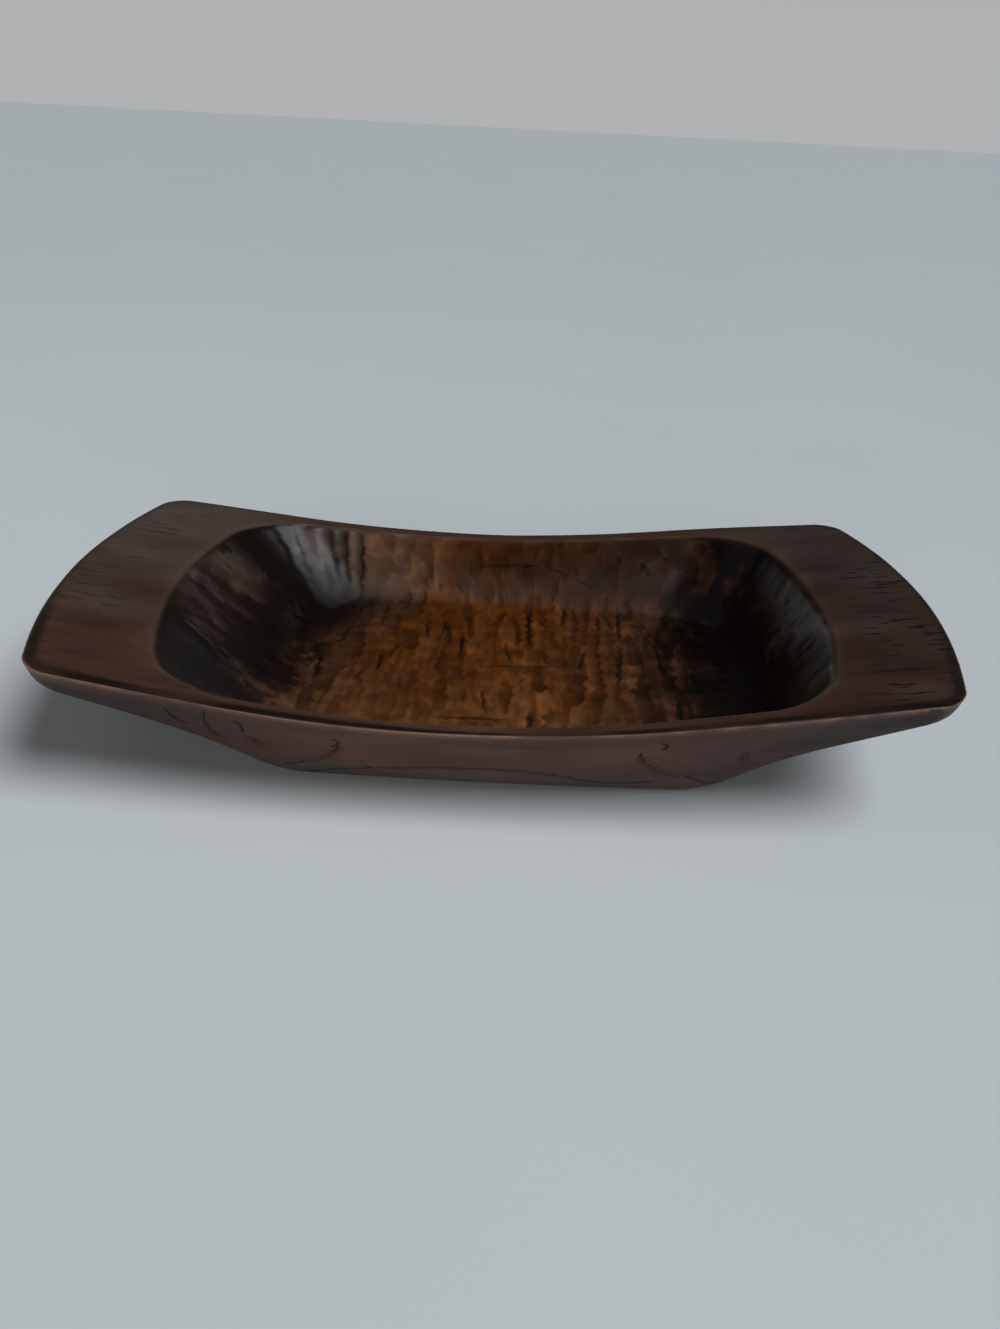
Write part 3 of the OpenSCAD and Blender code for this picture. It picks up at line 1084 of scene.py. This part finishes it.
class NodeBench:
    """Places shader nodes in a material and joins them up."""

    def __init__(self, name):
        self.material = bpy.data.materials.new(name)
        self.material.use_nodes = True
        self.tree = self.material.node_tree
        self.shader = self.tree.nodes["Principled BSDF"]
        self.count = 0

    def add(self, kind, inputs=None, **settings):
        """A new node; each input is a socket to join or a value to set."""
        node = self.tree.nodes.new(kind)
        column, row = divmod(self.count, NODE_ROWS)
        node.location = (-NODE_WIDTH * (column + 2), NODE_TOP - NODE_HEIGHT * row)
        self.count += 1
        for key, value in settings.items():
            setattr(node, key, value)
        for key, value in (inputs or {}).items():
            self.join(value, node.inputs[key])
        return node

    def join(self, value, socket):
        """Links a socket, or sets a plain value."""
        if isinstance(value, bpy.types.NodeSocket):
            self.tree.links.new(value, socket)
        else:
            socket.default_value = value

    def attribute(self, name):
        """One of the values kept at the bowl's vertices."""
        return self.add("ShaderNodeAttribute", attribute_name=name).outputs["Fac"]

    def maths(self, operation, first, second=0.0, clamp=False):
        """The result of one sum."""
        node = self.add("ShaderNodeMath", {0: first, 1: second}, operation=operation, use_clamp=clamp)
        return node.outputs["Value"]

    def product(self, first, second, clamp=False):
        """Two values multiplied."""
        return self.maths("MULTIPLY", first, second, clamp)

    def spread(self, value, low, high, to_low=0.0, to_high=1.0):
        """A value's range moved to another range, held at its ends."""
        node = self.add(
            "ShaderNodeMapRange",
            {"Value": value, "From Min": low, "From Max": high, "To Min": to_low, "To Max": to_high},
        )
        return node.outputs["Result"]

    def blend(self, part, first, second, kind="MIX"):
        """Two colours, mixed by a part of one."""
        node = self.add("ShaderNodeMix", data_type="RGBA", blend_type=kind)
        self.join(part, node.inputs["Factor"])
        self.join(first, node.inputs[6])
        self.join(second, node.inputs[7])
        return node.outputs[2]

    def noise(self, place, scale, stretch=(1.0, 1.0, 1.0), detail=4.0, roughness=0.55, distortion=0.0):
        """Noise on the bowl's own coordinates, stretched along it."""
        mapping = self.add("ShaderNodeMapping", {"Vector": place, "Scale": stretch})
        node = self.add(
            "ShaderNodeTexNoise",
            {
                "Vector": mapping.outputs["Vector"], "Scale": scale, "Detail": detail,
                "Roughness": roughness, "Distortion": distortion,
            },
        )
        return node.outputs["Fac"]


def opaque(colour_value):
    """A colour with its alpha."""
    return (*colour_value, 1.0)


# The values kept at the bowl's vertices, in the order in which the finish reads them
FINISH_LAYERS = (
    "honey", "tan", "char", "painted_sheen", "wear_and_highlight", "checks", "line", "shade", "waxed", "hollow", "outside",
)
# How fully the char with its painted shade and the hairline checks cover the wood under them
CHAR_SHADE_COVER = 0.98
HAIRLINE_COVER = 0.85
# The range of the wax, and how far its two ends lie above and below the plain roughness
WAX_RANGE = (-2.5, 1.5)
DULL_RISE = 0.404
POLISH_DROP = 0.22
# Roughness of the dark lines
LINE_ROUGHNESS = 0.8
# How far fibres and hairlines count in the relief next to the grain, and how strong and high this is
FIBRE_RELIEF = 0.35
HAIRLINE_RELIEF = 0.6
PLANED_BUMP = 0.35
GRAIN_HEIGHT = 0.0006
# How far the floor's paint strays from its colour, and its roughness
PAINT_SPREAD = 0.03
PAINT_ROUGHNESS = 0.7


def stained_wood(finish):
    """Waxed, stained wood: grain along the bowl, honey in the hollow, char with painted shade at its ends,
    worn edges with a painted highlight, and painted sheen.
    """
    bench = NodeBench("stained_wood")
    place = bench.add("ShaderNodeTexCoord").outputs["Object"]
    grain = bench.noise(place, 11.0, stretch=(1.0, 6.0, 6.0), detail=6.0, roughness=0.6, distortion=0.8)
    fibres = bench.noise(place, 60.0, stretch=(1.0, 22.0, 22.0), detail=3.0)
    torn = bench.noise(place, 75.0, stretch=(2.6, 0.8, 2.6), detail=3.0)
    patches = bench.noise(place, 14.0, detail=3.0)
    dashes = bench.noise(place, 44.0, stretch=(1.0, 7.0, 7.0), detail=1.5, roughness=0.45)
    honey, tan, char, painted_sheen, wear_and_highlight, checks, line, shade, waxed, hollow, outside = (
        bench.attribute(name) for name in FINISH_LAYERS
    )

    wood = bench.blend(bench.spread(grain, 0.25, 0.7), opaque(finish.stain_dark), opaque(finish.stain))
    thin = bench.product(outside, bench.spread(grain, 0.25, 0.7, 0.55, 1.0))
    wood = bench.blend(thin, wood, opaque(finish.thin_stain))
    # Painted sheen and painted reflection, mixed into the colour
    wood = bench.blend(painted_sheen, wood, opaque(finish.painted_sheen))
    bare = bench.product(honey, bench.spread(patches, 0.25, 0.75, 0.85, 1.25), clamp=True)
    wood = bench.blend(bare, wood, bench.blend(tan, opaque(finish.honey), opaque(finish.tan)))
    shade = bench.product(shade, bench.spread(fibres, 0.3, 0.7, 0.95, 1.05))
    across = bench.product(bench.spread(torn, 0.3, 0.7, -0.2, 0.2), honey)
    shade = bench.product(shade, bench.maths("ADD", across, 1.0))
    grey = bench.add("ShaderNodeCombineColor", {"Red": shade, "Green": shade, "Blue": shade})
    wood = bench.blend(1.0, wood, grey.outputs["Color"], "MULTIPLY")
    # Char and painted shade at the hollow's ends, and the dark line inside the rim
    wood = bench.blend(bench.product(char, CHAR_SHADE_COVER), wood, opaque(finish.char))
    # Rubbed bare edges with their painted highlight
    rubbed = bench.product(wear_and_highlight, bench.spread(fibres, 0.25, 0.7, 0.45, 1.0), clamp=True)
    wood = bench.blend(rubbed, wood, opaque(finish.worn_and_highlight))
    hairline = bench.product(bench.spread(dashes, 0.375, 0.41, 1.0, 0.0), checks, clamp=True)
    dark_marks = bench.maths("MAXIMUM", bench.product(hairline, HAIRLINE_COVER), line)
    wood = bench.blend(dark_marks, wood, opaque(finish.char))

    on_planed = bench.maths("SUBTRACT", 1.0, hollow)
    uneven = bench.product(bench.spread(grain, 0.3, 0.7, 0.08, -0.05), on_planed)
    dull, polished = finish.sheen + DULL_RISE, finish.sheen - POLISH_DROP
    sheen = bench.maths("ADD", bench.spread(waxed, *WAX_RANGE, dull, polished), uneven)
    sheen = bench.maths("MAXIMUM", sheen, bench.product(line, LINE_ROUGHNESS))
    relief = bench.maths("MULTIPLY_ADD", fibres, FIBRE_RELIEF)
    bench.join(grain, relief.node.inputs[2])
    relief = bench.maths("SUBTRACT", relief, bench.product(hairline, HAIRLINE_RELIEF))
    strength = bench.spread(hollow, 0.0, 1.0, PLANED_BUMP, 0.0)
    bump = bench.add("ShaderNodeBump", {"Height": relief, "Strength": strength, "Distance": GRAIN_HEIGHT})
    bench.join(wood, bench.shader.inputs["Base Color"])
    bench.join(sheen, bench.shader.inputs["Roughness"])
    bench.join(bump.outputs["Normal"], bench.shader.inputs["Normal"])
    bench.shader.inputs["Specular IOR Level"].default_value = finish.gloss
    return bench.material


def floor_paint(stage):
    """Matt pale paint of the studio floor, a little uneven."""
    bench = NodeBench("floor_paint")
    place = bench.add("ShaderNodeTexCoord").outputs["Object"]
    cloud = bench.noise(place, 3.0, detail=2.0)
    pale = np.array(stage.floor_colour)
    darkest, palest = pale * (1.0 - PAINT_SPREAD), np.minimum(pale * (1.0 + PAINT_SPREAD), 1.0)
    tint = bench.blend(cloud, opaque(darkest), opaque(palest))
    bench.join(tint, bench.shader.inputs["Base Color"])
    bench.shader.inputs["Roughness"].default_value = PAINT_ROUGHNESS
    return bench.material


def put_in_scene(bm, name, material):
    """A new object at the origin, with its place in its mesh."""
    mesh = bpy.data.meshes.new(name)
    bm.to_mesh(mesh)
    bm.free()
    for face in mesh.polygons:
        face.use_smooth = True
    mesh.materials.append(material)
    piece = bpy.data.objects.new(name, mesh)
    bpy.context.scene.collection.objects.link(piece)
    return piece


class DOUGHBOWL_OT_carve(bpy.types.Operator):
    """Carve the bowl, with its tool marks and its stained finish"""

    bl_idname = "doughbowl.carve"
    bl_label = "Carve Bowl"

    def execute(self, context):
        scene = context.scene
        marks = scene.dough_bowl_marks
        points, values, columns = sculpt(scene.dough_bowl_shape, marks)
        bm = skin_bowl(points, values, columns)
        cut_wall_lines(bm, marks)
        bowl = put_in_scene(bm, "hewn_bowl", stained_wood(scene.dough_bowl_finish))
        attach(bowl, "root")
        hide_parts(PIECE)
        return {"FINISHED"}


# Width of the camera's sensor in millimetres
SENSOR_WIDTH = 36.0
# Half size of the floor, and the point over the base that the lamps face
FLOOR_REACH = 40.0
LAMP_TARGET = Vector((0.0, 0.0, 0.04))
# Direction in which the window's light falls, and the tints of the lights
WINDOW_FALL = Vector((-0.50, 0.21, -0.84))
WINDOW_TINT = (0.92, 0.97, 1.0)
SIDE_TINT = (1.0, 0.99, 0.97)
FRONT_TINT = (1.0, 0.98, 0.96)
ROOM_TINT = (0.97, 0.99, 1.0)
# Places of the two lamps, and their widths and heights
SIDE_PLACE = Vector((-0.95, 0.2, 1.1))
SIDE_SIZE = (1.0, 1.0)
FRONT_PLACE = Vector((-0.2, -3.0, 0.75))
FRONT_SIZE = (2.4, 0.8)
# Upward slope of the view between which the room's light goes over from its walls to its ceiling
CEILING_BAND = (0.08, 0.22)


def studio_floor(stage):
    """A wide level floor that runs out to the horizon."""
    bm = bmesh.new()
    bmesh.ops.create_grid(bm, x_segments=1, y_segments=1, size=FLOOR_REACH)
    put_in_scene(bm, "studio_floor", floor_paint(stage))


def studio_camera(stage):
    """The camera, at the angle that the bowl is seen from."""
    yaw, pitch, roll = stage.yaw, stage.pitch, stage.roll
    ahead = Vector((math.sin(yaw) * math.cos(pitch), math.cos(yaw) * math.cos(pitch), -math.sin(pitch)))
    right = Vector((math.cos(yaw), -math.sin(yaw), 0.0))
    up = right.cross(ahead)
    leaning_right = right * math.cos(roll) + up * math.sin(roll)
    leaning_up = up * math.cos(roll) - right * math.sin(roll)
    data = bpy.data.cameras.new("camera")
    data.sensor_width = SENSOR_WIDTH
    data.lens = stage.lens
    camera = bpy.data.objects.new("camera", data)
    bpy.context.scene.collection.objects.link(camera)
    turn = Matrix((leaning_right, leaning_up, -ahead)).transposed()
    camera.matrix_world = Matrix.Translation(stage.eye) @ turn.to_4x4()
    bpy.context.scene.camera = camera


def hang_light(name, data, tint, direction):
    """A light in the scene that shines in a direction."""
    data.color = tint
    lamp = bpy.data.objects.new(name, data)
    lamp.rotation_euler = direction.to_track_quat("-Z", "Y").to_euler()
    bpy.context.scene.collection.objects.link(lamp)
    return lamp


def studio_lamp(name, place, size, power, tint):
    """A large lamp, with its width and height, that faces the bowl."""
    data = bpy.data.lights.new(name, "AREA")
    data.shape = "RECTANGLE"
    data.size, data.size_y = size
    data.energy = power
    lamp = hang_light(name, data, tint, LAMP_TARGET - place)
    lamp.location = place


def window_light(stage):
    """A broad, soft light from high on the right."""
    data = bpy.data.lights.new("window_light", "SUN")
    data.energy = stage.window_strength
    data.angle = stage.window_angle
    hang_light("window_light", data, WINDOW_TINT, WINDOW_FALL)


def room(stage):
    """The room's own light, pale level with the bowl and dim above it."""
    world = bpy.data.worlds.new("room")
    world.use_nodes = True
    tree = world.node_tree
    direction = tree.nodes.new("ShaderNodeTexCoord")
    parts = tree.nodes.new("ShaderNodeSeparateXYZ")
    fade = tree.nodes.new("ShaderNodeMapRange")
    fade.interpolation_type = "SMOOTHSTEP"
    fade.inputs["From Min"].default_value, fade.inputs["From Max"].default_value = CEILING_BAND
    fade.inputs["To Min"].default_value = stage.wall_light
    fade.inputs["To Max"].default_value = stage.ceiling_light
    background = tree.nodes["Background"]
    background.inputs["Color"].default_value = opaque(ROOM_TINT)
    tree.links.new(direction.outputs["Generated"], parts.inputs["Vector"])
    tree.links.new(parts.outputs["Z"], fade.inputs["Value"])
    tree.links.new(fade.outputs["Result"], background.inputs["Strength"])
    return world


class DOUGHBOWL_OT_stage(bpy.types.Operator):
    """Set the camera, the lamps and the pale floor"""

    bl_idname = "doughbowl.stage"
    bl_label = "Set Stage"

    def execute(self, context):
        scene = context.scene
        stage = scene.dough_bowl_stage
        studio_floor(stage)
        studio_camera(stage)
        window_light(stage)
        studio_lamp("side_lamp", SIDE_PLACE, SIDE_SIZE, stage.side_power, SIDE_TINT)
        studio_lamp("front_lamp", FRONT_PLACE, FRONT_SIZE, stage.front_power, FRONT_TINT)
        scene.world = room(stage)
        scene.view_settings.view_transform = "Standard"
        return {"FINISHED"}


class DOUGHBOWL_PT_sidebar(bpy.types.Panel):
    """Sizes, marks, finish and stage of the dough bowl"""

    bl_idname = "DOUGHBOWL_PT_sidebar"
    bl_label = "Dough Bowl"
    bl_space_type = "VIEW_3D"
    bl_region_type = "UI"
    bl_category = "Dough Bowl"

    def draw(self, context):
        scene = context.scene
        for operator, group in (
            (DOUGHBOWL_OT_carve, scene.dough_bowl_shape),
            (None, scene.dough_bowl_marks),
            (None, scene.dough_bowl_finish),
            (DOUGHBOWL_OT_stage, scene.dough_bowl_stage),
        ):
            box = self.layout.box()
            if operator:
                box.operator(operator.bl_idname)
            for name in group.__annotations__:
                box.prop(group, name)


GROUPS = {
    "dough_bowl_shape": BowlShape,
    "dough_bowl_marks": ToolMarks,
    "dough_bowl_finish": WoodFinish,
    "dough_bowl_stage": StudioStage,
}
TOOLS = (DOUGHBOWL_OT_carve, DOUGHBOWL_OT_stage, DOUGHBOWL_PT_sidebar)


def register():
    for name, group in GROUPS.items():
        bpy.utils.register_class(group)
        setattr(bpy.types.Scene, name, PointerProperty(type=group))
    for tool in TOOLS:
        bpy.utils.register_class(tool)


def unregister():
    for tool in reversed(TOOLS):
        bpy.utils.unregister_class(tool)
    for name, group in GROUPS.items():
        delattr(bpy.types.Scene, name)
        bpy.utils.unregister_class(group)


def main():
    """Makes the bowl and its stage."""
    register()
    bpy.ops.doughbowl.carve()
    bpy.ops.doughbowl.stage()


if __name__ == "__main__":
    main()
